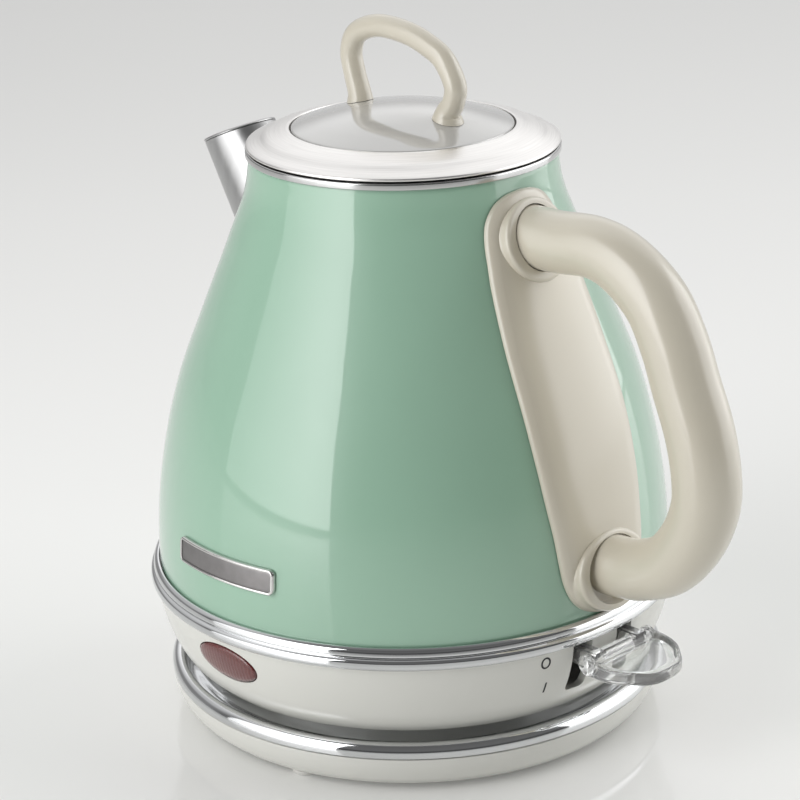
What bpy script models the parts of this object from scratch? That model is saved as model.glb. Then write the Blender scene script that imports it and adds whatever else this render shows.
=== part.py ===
"""Cordless electric kettle standing on its round power base.

Metres, +Z up, and the underside of the feet at z = 0. The handle points along +X, the spout
along -X, and the badge and the indicator lens face -Y. The kettle's vertical axis stands at
x = AXIS_X, so that the origin is under the middle of the whole object. Turned profiles are
(radius, height) points about that axis, listed down their outer side.
"""

import math

import bmesh
import bpy
import numpy as np
from mathutils import Vector

# Driving dimensions.
GAP = 0.0003  # between neighbouring pieces
HANDLE_REACH = 0.1182  # kettle axis to the outside of the grip
SPOUT_REACH = 0.0791  # kettle axis to the tip of the spout
AXIS_X = (SPOUT_REACH - HANDLE_REACH) / 2
RIM_RADIUS = 0.0440  # steel band round the mouth
TRIM_RADIUS = 0.0770  # widest ring of the kettle
BASE_RADIUS = 0.0722  # power base
SHEET = 0.0009  # wall of the steel body
LEVER_AXIS = (0.0460, 0.0300)  # x and height of the switch lever's pin
LEVER_ARM_Y = 0.0096  # each arm of the lever, from the middle
TRIP_AXIS = (0.0325, 0.0285)  # x and height of the trip rocker's pin
STEPS = 36  # sides of a large turned piece
FINE_STEPS = 20  # sides of a small turned piece

# The painted body, as (height, outer radius).
BODY_CURVE = (
    (0.0415, 0.0738),
    (0.0500, 0.0741),
    (0.0600, 0.0737),
    (0.0800, 0.0709),
    (0.1000, 0.0657),
    (0.1200, 0.0579),
    (0.1400, 0.0498),
    (0.1550, 0.0443),
    (0.1644, 0.0430),
)
BODY_HEIGHTS = (0.1644, 0.1560, 0.1460, 0.1330, 0.1190, 0.1050, 0.0910, 0.0770, 0.0630, 0.0500, 0.0415)

# The lower housing, as (height, outer radius).
SKIRT_CURVE = (
    (0.0173, 0.0660),
    (0.0196, 0.0684),
    (0.0230, 0.0706),
    (0.0275, 0.0726),
    (0.0320, 0.0740),
    (0.0365, 0.0749),
    (0.0396, 0.0752),
)
SKIRT_HEIGHTS = (0.0396, 0.0365, 0.0320, 0.0275, 0.0230, 0.0196, 0.0173)

FINISHES = {  # base colour, roughness, metallic, alpha
    "green_paint": ((0.39, 0.61, 0.47), 0.18, 0.0, 1.0),
    "cream_plastic": ((0.78, 0.75, 0.67), 0.28, 0.0, 1.0),
    "white_plastic": ((0.80, 0.80, 0.78), 0.40, 0.0, 1.0),
    "black_plastic": ((0.03, 0.03, 0.03), 0.45, 0.0, 1.0),
    "chrome": ((0.82, 0.83, 0.85), 0.06, 1.0, 1.0),
    "brushed_steel": ((0.70, 0.69, 0.68), 0.28, 1.0, 1.0),
    "plain_steel": ((0.55, 0.55, 0.56), 0.35, 1.0, 1.0),
    "brass": ((0.75, 0.58, 0.26), 0.30, 1.0, 1.0),
    "silicone": ((0.80, 0.80, 0.78), 0.60, 0.0, 1.0),
    "clear_plastic": ((0.92, 0.94, 0.95), 0.05, 0.0, 0.35),
    "red_lens": ((0.22, 0.03, 0.03), 0.15, 0.0, 0.85),
    "badge_metal": ((0.38, 0.36, 0.36), 0.35, 1.0, 1.0),
}


def fresh_scene():
    for obj in list(bpy.data.objects):
        bpy.data.objects.remove(obj)


def new_collection(name):
    collection = bpy.data.collections.new(name)
    bpy.context.scene.collection.children.link(collection)
    return collection


def finish(name):
    """The material of that name, made at its first use."""
    found = bpy.data.materials.get(name)
    if found:
        return found
    colour, roughness, metallic, alpha = FINISHES[name]
    made = bpy.data.materials.new(name)
    made.use_nodes = True
    shader = made.node_tree.nodes["Principled BSDF"]
    shader.inputs["Base Color"].default_value = (*colour, 1.0)
    shader.inputs["Roughness"].default_value = roughness
    shader.inputs["Metallic"].default_value = metallic
    shader.inputs["Alpha"].default_value = alpha
    return made


def new_empty(name, x=0.0, z=0.0, parent=None):
    empty = bpy.data.objects.new(name, None)
    parts.objects.link(empty)
    empty.location = (x, 0, z)
    empty.parent = parent
    return empty


def place(name, data, look, home, origin=(0, 0, 0)):
    """Puts a mesh or curve in the scene under an empty. A look of None makes it a cutter."""
    obj = bpy.data.objects.new(name, data)
    obj.location = origin
    obj.parent = home
    if look is None:
        cutters.objects.link(obj)
        obj.hide_render = True
        obj.display_type = "WIRE"
    else:
        parts.objects.link(obj)
        data.materials.append(finish(look))
    return obj


def turned(name, profile, look, home, steps=STEPS, origin=(0, 0, 0)):
    """Turns a profile about the vertical axis. It is a closed ring of points unless it meets the axis."""
    ends_on_axis = profile[0][0] == 0 and profile[-1][0] == 0
    count = len(profile)
    edges = [(i, (i + 1) % count) for i in range(count - ends_on_axis)]
    mesh = bpy.data.meshes.new(name)
    mesh.from_pydata([(radius, 0, height) for radius, height in profile], edges, [])
    obj = place(name, mesh, look, home, origin)
    screw = obj.modifiers.new("Turn", "SCREW")
    screw.angle = math.tau
    screw.steps = steps
    screw.render_steps = steps
    screw.use_merge_vertices = True
    screw.merge_threshold = 0.00001
    screw.use_smooth_shade = True
    return obj


def shaped(name, build, look, home, origin=(0, 0, 0)):
    """Makes an object from a function that fills a bmesh."""
    bm = bmesh.new()
    build(bm)
    mesh = bpy.data.meshes.new(name)
    bm.to_mesh(mesh)
    bm.free()
    mesh.shade_smooth()
    mesh.set_sharp_from_angle(angle=math.radians(35))
    return place(name, mesh, look, home, origin)


def block(name, low, high, look, home, origin=(0, 0, 0)):
    """A box between two corners."""
    low, high = Vector(low), Vector(high)

    def build(bm):
        bmesh.ops.create_cube(bm, size=1)
        bmesh.ops.scale(bm, vec=high - low, verts=bm.verts)
        bmesh.ops.translate(bm, vec=(low + high) / 2, verts=bm.verts)

    return shaped(name, build, look, home, origin)


def cone(name, start, end, start_radius, end_radius, look, home, sides=FINE_STEPS, origin=(0, 0, 0)):
    """A round bar or a cone between two points."""
    start, end = Vector(start), Vector(end)
    turn = Vector((0, 0, 1)).rotation_difference(end - start).to_matrix()

    def build(bm):
        bmesh.ops.create_cone(
            bm,
            cap_ends=True,
            segments=sides,
            radius1=start_radius,
            radius2=end_radius,
            depth=(end - start).length,
        )
        bmesh.ops.rotate(bm, cent=(0, 0, 0), matrix=turn, verts=bm.verts)
        bmesh.ops.translate(bm, vec=(start + end) / 2, verts=bm.verts)

    return shaped(name, build, look, home, origin)


def bar(name, start, end, radius, look, home, sides=12, origin=(0, 0, 0)):
    return cone(name, start, end, radius, radius, look, home, sides, origin)


def combine(obj, other, operation="DIFFERENCE"):
    boolean = obj.modifiers.new(operation.title(), "BOOLEAN")
    boolean.operation = operation
    boolean.object = other
    return obj


def smooth_path(points, per_span):
    """Points along a Catmull-Rom curve through the given points, of any dimension."""
    points = [np.array(point, float) for point in points]
    padded = [2 * points[0] - points[1], *points, 2 * points[-1] - points[-2]]
    path = []
    for a, b, c, d in zip(padded, padded[1:], padded[2:], padded[3:]):
        for step in range(per_span):
            t = step / per_span
            bend = (2 * a - 5 * b + 4 * c - d) * t * t + (3 * b - a - 3 * c + d) * t**3
            path.append((2 * b + (c - a) * t + bend) / 2)
    return path + [points[-1]]


def tube(name, path, look, home, resolution):
    """A round tube along (x, y, z, radius) points, as a mesh whose caps are welded on."""
    curve = bpy.data.curves.new(name + "_path", "CURVE")
    curve.dimensions = "3D"
    curve.bevel_depth = 1.0
    curve.bevel_resolution = resolution
    curve.use_fill_caps = True
    spline = curve.splines.new("POLY")
    spline.points.add(len(path) - 1)
    for point, (x, y, z, radius) in zip(spline.points, path):
        point.co = (x, y, z, 1)
        point.radius = radius
    guide = bpy.data.objects.new(name + "_path", curve)
    parts.objects.link(guide)
    graph = bpy.context.evaluated_depsgraph_get()
    mesh = bpy.data.meshes.new_from_object(guide.evaluated_get(graph))
    bpy.data.objects.remove(guide)
    weld(mesh)
    return place(name, mesh, look, home)


def weld(mesh):
    bm = bmesh.new()
    bm.from_mesh(mesh)
    bmesh.ops.remove_doubles(bm, verts=bm.verts, dist=0.000001)
    bmesh.ops.recalc_face_normals(bm, faces=bm.faces)
    bm.to_mesh(mesh)
    bm.free()
    mesh.shade_smooth()
    mesh.set_sharp_from_angle(angle=math.radians(40))


def prism(name, outline, near, far, along, home):
    """A cutter: a flat outline extruded along an axis. It is (x, y) along Z, else (across, height)."""
    curve = bpy.data.curves.new(name + "_outline", "CURVE")
    curve.dimensions = "2D"
    curve.fill_mode = "BOTH"
    curve.extrude = (far - near) / 2
    spline = curve.splines.new("POLY")
    spline.points.add(len(outline) - 1)
    for point, (across, height) in zip(spline.points, outline):
        point.co = (across, height, 0, 1)
    spline.use_cyclic_u = True
    guide = bpy.data.objects.new(name + "_outline", curve)
    parts.objects.link(guide)
    graph = bpy.context.evaluated_depsgraph_get()
    mesh = bpy.data.meshes.new_from_object(guide.evaluated_get(graph))
    bpy.data.objects.remove(guide)
    middle = (near + far) / 2
    for vertex in mesh.vertices:
        across, height, depth = vertex.co
        if along == "X":
            vertex.co = (middle + depth, across, height)
        elif along == "Y":
            vertex.co = (across, middle + depth, height)
        else:
            vertex.co = (across, height, middle + depth)
    weld(mesh)
    return place(name, mesh, None, home)


def rounded_rectangle(width, height, corner, middle_height, per_corner=3):
    outline = []
    for quarter in range(4):
        sign_x = 1 if quarter in (0, 3) else -1
        sign_z = 1 if quarter in (0, 1) else -1
        for step in range(per_corner + 1):
            angle = math.radians(90) * (quarter + step / per_corner)
            across = sign_x * (width / 2 - corner) + corner * math.cos(angle)
            up = sign_z * (height / 2 - corner) + corner * math.sin(angle)
            outline.append((across, middle_height + up))
    return outline


def oval(half_width, half_height, middle_height, sides=24):
    turn = math.tau / sides
    return [
        (half_width * math.cos(i * turn), middle_height + half_height * math.sin(i * turn))
        for i in range(sides)
    ]


def read_curve(curve, height):
    """Radius at a height on a smooth curve through (height, radius) points."""
    heights, radii = np.array(curve).T
    slopes = np.gradient(radii, heights)
    i = int(np.clip(np.searchsorted(heights, height) - 1, 0, len(heights) - 2))
    width = heights[i + 1] - heights[i]
    t = (height - heights[i]) / width
    start = radii[i] * (1 + 2 * t) + width * slopes[i] * t
    end = radii[i + 1] * (3 - 2 * t) + width * slopes[i + 1] * (t - 1)
    return float(start * (1 - t) ** 2 + end * t * t)


def body_radius(height):
    return read_curve(BODY_CURVE, height)


def skirt_radius(height):
    return read_curve(SKIRT_CURVE, height)


def layer(radius, heights, inner, outer):
    """The profile of a skin between two offsets from a turned surface."""
    down = [(radius(z) + outer, z) for z in heights]
    up = [(radius(z) + inner, z) for z in reversed(heights)]
    return down + up


def make_power_base():
    shell = turned(
        "base_shell",
        [
            (0.0720, 0.0112),
            (0.0716, 0.0080),
            (0.0700, 0.0044),
            (0.0669, 0.0016),
            (0.0651, 0.0016),
            (0.0680, 0.0047),
            (0.0695, 0.0076),
            (0.0215, 0.0076),
            (0.0215, 0.0096),
            (0.0600, 0.0096),
            (0.0628, 0.0098),
            (0.0655, 0.0112),
        ],
        "cream_plastic",
        base,
    )
    turned(
        "base_chrome_dish",
        [
            (0.0696, 0.0157),
            (0.0712, 0.0152),
            (BASE_RADIUS, 0.0136),
            (BASE_RADIUS, 0.0116),
            (0.0713, 0.0116),
            (0.0713, 0.0132),
            (0.0707, 0.0143),
            (0.0696, 0.0148),
            (0.0680, 0.0139),
            (0.0645, 0.0114),
            (0.0600, 0.0102),
            (0.0220, 0.0102),
            (0.0220, 0.0110),
            (0.0600, 0.0110),
            (0.0640, 0.0122),
            (0.0675, 0.0146),
        ],
        "chrome",
        base,
    )
    cover = turned(
        "base_bottom_cover",
        [(0.0, 0.0038), (0.0645, 0.0038), (0.0645, 0.0022), (0.0, 0.0022)],
        "cream_plastic",
        base,
    )
    for number, degrees in enumerate((-75, 45, 165), start=1):
        make_foot(number, math.radians(degrees))
    for number, degrees in enumerate((-15, 105, 225), start=1):
        make_base_screw(number, math.radians(degrees), cover)
    make_cord_gland(shell)
    make_base_connector()


def make_foot(number, angle):
    """A stepped rubber puck stuck to the cover, its lower disc passing under the rim of the shell."""
    out, disc, stem = 0.0626, 0.0040, 0.0019
    profile = [
        (0.0, 0.0019),
        (stem, 0.0019),
        (stem, 0.0013),
        (disc, 0.0013),
        (disc, 0.0005),
        (disc - 0.0004, 0.0),
        (0.0, 0.0),
    ]
    at = (out * math.cos(angle), out * math.sin(angle), 0)
    turned(f"base_foot_{number}", profile, "silicone", base, FINE_STEPS, at)


def make_base_screw(number, angle, cover):
    """A countersunk screw up through the cover, its head flush below."""
    out, shank, head = 0.0450, 0.0012, 0.0025
    at = (out * math.cos(angle), out * math.sin(angle), 0)
    screw = [(0.0, 0.0072), (shank, 0.0072), (shank, 0.0040), (head, 0.0024), (head, 0.0018), (0.0, 0.0018)]
    turned(f"base_screw_{number}", screw, "plain_steel", base, FINE_STEPS // 2, at)
    shank, head = shank + 0.0004, head + 0.0004
    hole = [(0.0, 0.0050), (shank, 0.0050), (shank, 0.0042), (head, 0.0025), (head, 0.0010), (0.0, 0.0010)]
    combine(cover, turned(f"base_screw_hole_{number}", hole, None, base, FINE_STEPS // 2, at))


def make_cord_gland(shell):
    """The bush in the rear wall of the base where the mains lead would enter."""
    height, radius, bore = 0.0064, 0.0034, 0.0022
    inner, outer = 0.0646, 0.0735
    gland = bar("cord_gland", (0, inner, height), (0, outer, height), radius, "black_plastic", base, 16)
    combine(gland, bar("cord_bore", (0, 0.05, height), (0, 0.09, height), bore, None, base))
    notch = bar("cord_notch", (0, inner - GAP, height), (0, 0.09, height), radius + GAP, None, base, 16)
    combine(shell, notch)
    block("terminal_block", (-0.0080, 0.0400, 0.0042), (0.0080, 0.0520, 0.0072), "white_plastic", base)


def make_base_connector():
    """The round tower that the kettle drops onto: a centre hole for earth and a ring slot."""
    turned(
        "base_connector",
        [
            (0.0, 0.0130),
            (0.0029, 0.0130),
            (0.0029, 0.0240),
            (0.0076, 0.0240),
            (0.0076, 0.0145),
            (0.0114, 0.0145),
            (0.0114, 0.0240),
            (0.0194, 0.0240),
            (0.0206, 0.0228),
            (0.0206, 0.0073),
            (0.0260, 0.0073),
            (0.0260, 0.0052),
            (0.0, 0.0052),
        ],
        "black_plastic",
        base,
        FINE_STEPS,
    )
    sleeve("base_contact_ring", 0.0110, 0.0103, 0.0150, 0.0215, "brass", base)
    sleeve("base_earth_sleeve", 0.0026, 0.0021, 0.0134, 0.0210, "brass", base)


def sleeve(name, outer, inner, low, high, look, home, steps=FINE_STEPS, origin=(0, 0, 0)):
    profile = [(outer, high), (outer, low), (inner, low), (inner, high)]
    return turned(name, profile, look, home, steps, origin)


def make_inlet():
    """The round socket under the kettle, free to turn on the tower."""
    turned(
        "kettle_inlet",
        [
            (0.0238, 0.0268),
            (0.0238, 0.0210),
            (0.0300, 0.0210),
            (0.0300, 0.0193),
            (0.0238, 0.0193),
            (0.0238, 0.0176),
            (0.0214, 0.0176),
            (0.0214, 0.0246),
            (0.0021, 0.0246),
            (0.0021, 0.0268),
        ],
        "black_plastic",
        inlet,
        FINE_STEPS,
    )
    bar("inlet_earth_pin", (0, 0, 0.0142), (0, 0, 0.0276), 0.0017, "brass", inlet)
    sleeve("inlet_contact_ring", 0.0094, 0.0086, 0.0160, 0.0243, "brass", inlet)


def make_body():
    body = turned("body_shell", layer(body_radius, BODY_HEIGHTS, -SHEET, 0), "green_paint", kettle)
    turned(
        "mouth_rim",
        [
            (RIM_RADIUS, 0.1656),
            (RIM_RADIUS, 0.1637),
            (0.0434, 0.1637),
            (0.0434, 0.1647),
            (0.0392, 0.1647),
            (0.0392, 0.1605),
            (0.0384, 0.1605),
            (0.0384, 0.1656),
        ],
        "brushed_steel",
        kettle,
    )
    turned(
        "trim_ring",
        [
            (0.0749, 0.0461),
            (0.0758, 0.0454),
            (0.0761, 0.0436),
            (0.0758, 0.0433),
            (0.0768, 0.0427),
            (TRIM_RADIUS, 0.0406),
            (0.0764, 0.0399),
            (0.0745, 0.0399),
            (0.0745, 0.0461),
        ],
        "chrome",
        kettle,
    )
    make_spout(body)
    make_handle(body)
    make_badge()


def make_spout(body):
    """A short steel cone leaning outwards, cut off at the mouth and trimmed to the body."""
    mouth = Vector((-0.0693, 0, 0.1585))
    radius = 0.01066
    lean = math.radians(40.3)
    taper = math.tan(math.radians(7))
    mouth_tilt = math.radians(23.6)
    wall = 0.0009
    past, length = 0.0060, 0.0560
    axis = Vector((-math.sin(lean), 0, math.cos(lean)))
    top, root = mouth + past * axis, mouth - length * axis
    top_radius, root_radius = radius - past * taper, radius + length * taper

    spout = cone("spout", root, top, root_radius, top_radius, "brushed_steel", kettle)
    bore_root, bore_top = root - 0.004 * axis, top + 0.004 * axis
    bore = cone(
        "spout_bore",
        bore_root,
        bore_top,
        root_radius + 0.004 * taper - wall,
        top_radius - 0.004 * taper - wall,
        None,
        kettle,
    )
    knife = block("spout_knife", (-0.04, -0.04, 0), (0.04, 0.04, 0.03), None, kettle, origin=mouth)
    knife.rotation_euler = (0, -mouth_tilt, 0)
    combine(spout, bore)
    combine(spout, knife)
    combine(spout, body_clearance)
    port = cone(
        "spout_port", root, mouth, root_radius - 0.0012, radius - 0.0012, None, kettle
    )
    combine(body, port)
    make_filter()


def make_filter():
    """A strainer clipped inside the body behind the spout."""
    heights = (0.1530, 0.1460, 0.1370, 0.1280, 0.1190)
    outline = rounded_rectangle(0.0320, 0.0300, 0.0060, 0.1355)
    window = rounded_rectangle(0.0260, 0.0240, 0.0040, 0.1355)
    screen_outline = rounded_rectangle(0.0254, 0.0234, 0.0040, 0.1355)
    rim = layer(body_radius, heights, -SHEET - 0.0026, -SHEET - 0.0006)
    frame = turned("spout_filter_frame", rim, "white_plastic", strainer)
    combine(frame, prism("filter_outline", outline, -0.09, -0.01, "X", strainer), "INTERSECT")
    combine(frame, prism("filter_window", window, -0.09, -0.01, "X", strainer))
    skin = layer(body_radius, heights, -SHEET - 0.0019, -SHEET - 0.0013)
    screen = turned("spout_filter_screen", skin, "plain_steel", strainer)
    combine(screen, prism("screen_outline", screen_outline, -0.09, -0.01, "X", strainer), "INTERSECT")
    for row in range(3):
        for column in range(3):
            across, up = (column - 1) * 0.0072, 0.1355 + (row - 1) * 0.0068
            low, high = (-0.09, across - 0.0026, up - 0.0024), (-0.01, across + 0.0026, up + 0.0024)
            combine(screen, block(f"screen_hole_{row}{column}", low, high, None, strainer))


def make_handle(body):
    """A back plate fitted to the body, with a collar for each end of the tubular grip."""
    half = [
        (0.0, 0.0466),
        (0.0092, 0.0488),
        (0.0146, 0.0552),
        (0.0167, 0.0660),
        (0.0183, 0.0830),
        (0.0189, 0.1000),
        (0.0182, 0.1200),
        (0.0168, 0.1350),
        (0.0147, 0.1480),
        (0.0091, 0.1567),
        (0.0, 0.1600),
    ]
    outline = half + [(-across, height) for across, height in half[-2:0:-1]]
    plate_skin = layer(body_radius, BODY_HEIGHTS, -0.001, 0.0028)
    plate = turned("handle_back_plate", plate_skin, "cream_plastic", kettle)
    combine(plate, prism("plate_outline", outline, 0.02, 0.10, "X", kettle), "INTERSECT")

    top_height, bottom_height = 0.1478, 0.0602
    collars = (  # end, x and height of the face's middle, lean, half height, width over height
        ("top", 0.0512, 0.1474, 19, 0.0116, 1.03),
        ("bottom", 0.0780, 0.0590, 9, 0.0112, 1.22),
    )
    for end, x, height, lean, half_height, widen in collars:
        out = Vector((math.cos(math.radians(lean)), 0, math.sin(math.radians(lean))))
        face = Vector((x, 0, height))
        collar = bar(f"{end}_collar", face - 0.012 * out, face, half_height, None, kettle, 28)
        collar.scale.y = widen
        combine(plate, collar, "UNION")
    sockets = (  # end, x it starts at, height, half height, width over height
        ("top", 0.0400, top_height, 0.0090, 1.0),
        ("bottom", 0.0660, 0.0590, 0.0099, 1.2),
    )
    for end, start, height, half_height, widen in sockets:
        socket = bar(f"{end}_socket", (start, 0, height), (0.12, 0, height), half_height, None, kettle, 28)
        socket.scale.y = widen
        combine(plate, socket)
    combine(plate, body_clearance)

    route = [  # x, height, radius of the grip
        (0.0420, top_height, 0.0084),
        (0.0570, top_height, 0.0084),
        (0.0706, 0.1487, 0.0083),
        (0.0812, 0.1458, 0.0085),
        (0.0916, 0.1381, 0.0088),
        (0.0977, 0.1279, 0.0090),
        (0.1018, 0.1174, 0.0091),
        (0.1065, 0.1053, 0.0092),
        (0.1090, 0.0934, 0.0092),
        (0.1084, 0.0846, 0.0091),
        (0.1043, 0.0749, 0.0089),
        (0.0970, 0.0663, 0.0086),
        (0.0876, 0.0617, 0.0084),
        (0.0800, 0.0603, 0.0084),
        (0.0700, bottom_height, 0.0084),
    ]
    path = [(x, 0.0, z, radius) for x, z, radius in smooth_path(route, 2)]
    grip = tube("handle_grip", path, "cream_plastic", kettle, 4)
    combine(grip, body_clearance)
    for end, height, start in (("top", top_height, 0.0420), ("bottom", bottom_height, 0.0700)):
        make_handle_screw(end, height, start, body, grip)


def make_handle_screw(end, height, start, body, grip):
    """A screw from inside the vessel into the end of the grip, its head clear of the sloping wall."""
    head_radius, head_height, shank_radius = 0.0034, 0.0016, 0.0015
    wall = min(body_radius(height + side * head_radius) for side in (-1, 1)) - SHEET
    seat, tip = wall - 2 * GAP, wall + 0.0150
    shank = (seat - GAP, 0, height), (tip, 0, height)
    screw = bar(f"handle_screw_{end}", *shank, shank_radius, "plain_steel", kettle)
    head = (seat - head_height, 0, height), (seat, 0, height)
    combine(screw, bar(f"screw_head_{end}", *head, head_radius, None, kettle), "UNION")
    hole = (start, 0, height), (tip + GAP, 0, height)
    for piece in (body, grip):
        cutter = bar(f"screw_hole_{end}_{piece.name}", *hole, shank_radius + GAP, None, kettle)
        combine(piece, cutter)


def make_badge():
    """A blank metal badge low on the front of the body."""
    heights = (0.0670, 0.0630, 0.0590, 0.0550)
    badge = turned("badge_plate", layer(body_radius, heights, 0.00035, 0.0014), "badge_metal", kettle)
    edge = rounded_rectangle(0.0380, 0.0072, 0.0016, 0.0612)
    combine(badge, prism("badge_outline", edge, -0.1, -0.04, "Y", kettle), "INTERSECT")


def make_housing():
    """The plastic skirt under the trim ring, the plate that closes it and what it holds."""
    skirt = turned(
        "lower_housing",
        [(skirt_radius(z), z) for z in SKIRT_HEIGHTS]
        + [
            (0.0652, 0.0170),
            (0.0625, 0.0170),
            (0.0625, 0.0190),
            (0.0656, 0.0196),
            (0.0686, 0.0236),
            (0.0708, 0.0284),
            (0.0722, 0.0330),
            (0.0730, 0.0396),
        ],
        "cream_plastic",
        kettle,
    )
    turned(
        "kettle_bottom_cover",
        [
            (0.0621, 0.0189),
            (0.0621, 0.0173),
            (0.0530, 0.0173),
            (0.0520, 0.0114),
            (0.0500, 0.0114),
            (0.0490, 0.0173),
            (0.0245, 0.0173),
            (0.0245, 0.0189),
        ],
        "cream_plastic",
        kettle,
    )
    make_indicator(skirt)
    for side in (-1, 1):
        low = (0.060, side * LEVER_ARM_Y - 0.0034, 0.0246)
        high = (0.085, side * LEVER_ARM_Y + 0.0034, 0.0410)
        combine(skirt, block(f"lever_slot_{side + 1}", low, high, None, kettle))


def make_indicator(skirt):
    """An oval lens in the front of the skirt with its lamp behind."""
    middle = 0.0326
    heights = (0.0390, 0.0352, 0.0326, 0.0300, 0.0265)
    lens = turned("indicator_lens", layer(skirt_radius, heights, -0.0020, 0.0007), "red_lens", kettle)
    half_width, half_height = 0.0115, 0.0052
    edge = oval(half_width, half_height, middle)
    combine(lens, prism("lens_outline", edge, -0.09, -0.05, "Y", kettle), "INTERSECT")
    edge = oval(half_width + GAP, half_height + GAP, middle)
    combine(skirt, prism("lens_hole", edge, -0.09, -0.05, "Y", kettle))
    block("lamp_holder", (-0.0090, -0.0650, 0.0280), (0.0090, -0.0590, 0.0372), "black_plastic", kettle)
    bar("indicator_lamp", (-0.0060, -0.0678, middle), (0.0060, -0.0678, middle), 0.0022, "red_lens", kettle)


def make_heater():
    """The vessel's floor, its silicone seal, the element under it and the thermal control."""
    plate = turned(
        "heater_plate",
        [
            (0.0, 0.0510),
            (0.0695, 0.0510),
            (0.0712, 0.0498),
            (0.0712, 0.0440),
            (0.0702, 0.0440),
            (0.0702, 0.0492),
            (0.0690, 0.0498),
            (0.0, 0.0498),
        ],
        "plain_steel",
        kettle,
    )
    turned(
        "heater_seal",
        [(0.0727, 0.0502), (0.0727, 0.0436), (0.0716, 0.0436), (0.0716, 0.0502)],
        "silicone",
        kettle,
    )
    out, element_height = 0.0420, 0.0457
    ends = math.radians(34)
    arc = np.linspace(ends, math.tau - ends, 21)
    ring = [(out * math.cos(a), out * math.sin(a), element_height, 0.0036) for a in arc]
    drop, corner = (0.0, 0.0, -0.0070, 0.0), (0.001, 0.0, -0.001, 0.0)
    start = [tuple(np.add(ring[0], offset)) for offset in (drop, corner)]
    end = [tuple(np.add(ring[-1], offset)) for offset in (corner, drop)]
    tube("heating_element", start + ring[1:-1] + end, "plain_steel", kettle, 2)
    turned(
        "control_unit",
        [
            (0.0, 0.0494),
            (0.0140, 0.0494),
            (0.0140, 0.0410),
            (0.0215, 0.0400),
            (0.0215, 0.0282),
            (0.0, 0.0282),
        ],
        "black_plastic",
        kettle,
        FINE_STEPS,
    )
    pipe_x = 0.0360
    sleeve("steam_tube", 0.0035, 0.0027, 0.0380, 0.1500, "plain_steel", kettle, 16, (pipe_x, 0, 0))
    combine(plate, bar("steam_tube_hole", (pipe_x, 0, 0.03), (pipe_x, 0, 0.06), 0.0039, None, kettle, 16))
    turned(
        "steam_bimetal",
        [
            (0.0, 0.0360),
            (0.0030, 0.0358),
            (0.0065, 0.0351),
            (0.0065, 0.0345),
            (0.0030, 0.0352),
            (0.0, 0.0354),
        ],
        "brass",
        kettle,
        FINE_STEPS // 2,
        (pipe_x, 0, 0),
    )


def make_switch():
    """The clear lever on its pin, and the rocker that trips it."""
    low, high = (0.0240, -0.0150, 0.0216), (0.0520, 0.0150, 0.0384)
    tray = block("switch_bracket", low, high, "black_plastic", kettle)
    combine(tray, block("bracket_room", (0.0200, -0.0132, 0.0230), (0.0600, 0.0132, 0.0500), None, kettle))
    for name, (x, z), radius in (("switch_pin", LEVER_AXIS, 0.0016), ("trip_pin", TRIP_AXIS, 0.0012)):
        bar(name, (x, -0.0146, z), (x, 0.0146, z), radius, "plain_steel", kettle)
        combine(tray, bar(name + "_holes", (x, -0.02, z), (x, 0.02, z), radius + GAP, None, kettle))
    make_lever()
    low, high = (-0.0080, -0.0040, -0.0010), (0.0078, 0.0040, 0.0014)
    rocker = block("trip_rocker", low, high, "white_plastic", trip)
    combine(rocker, bar("rocker_hub", (0, -0.0060, 0), (0, 0.0060, 0), 0.0028, None, trip, 16), "UNION")
    combine(rocker, bar("rocker_bore", (0, -0.02, 0), (0, 0.02, 0), 0.0012 + GAP, None, trip))


def make_lever():
    """A hub, two arms through the slots and a rounded paddle, drawn about the lever's pin."""
    root, middle, reach, half_width = 0.0306, 0.0400, 0.0112, 0.0140
    low, top = 0.0008, 0.0046
    fan = np.radians(np.linspace(78, -78, 10))
    outline = [(root, -half_width), (root, half_width)]
    outline += [(middle + reach * math.cos(a), half_width * math.sin(a)) for a in fan]
    hub = bar("switch_lever", (0, -0.0122, 0), (0, 0.0122, 0), 0.0040, "clear_plastic", lever, 16)
    for side in (-1, 1):
        near = (0.0, side * LEVER_ARM_Y - 0.0022, low)
        far = (root + 0.0024, side * LEVER_ARM_Y + 0.0022, top - GAP)
        combine(hub, block(f"lever_arm_{side + 1}", near, far, None, lever), "UNION")
    combine(hub, prism("lever_paddle", outline, top - 0.0024, top, "Z", lever), "UNION")
    combine(hub, bar("lever_bore", (0, -0.02, 0), (0, 0.02, 0), 0.0016 + GAP, None, lever))


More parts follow.
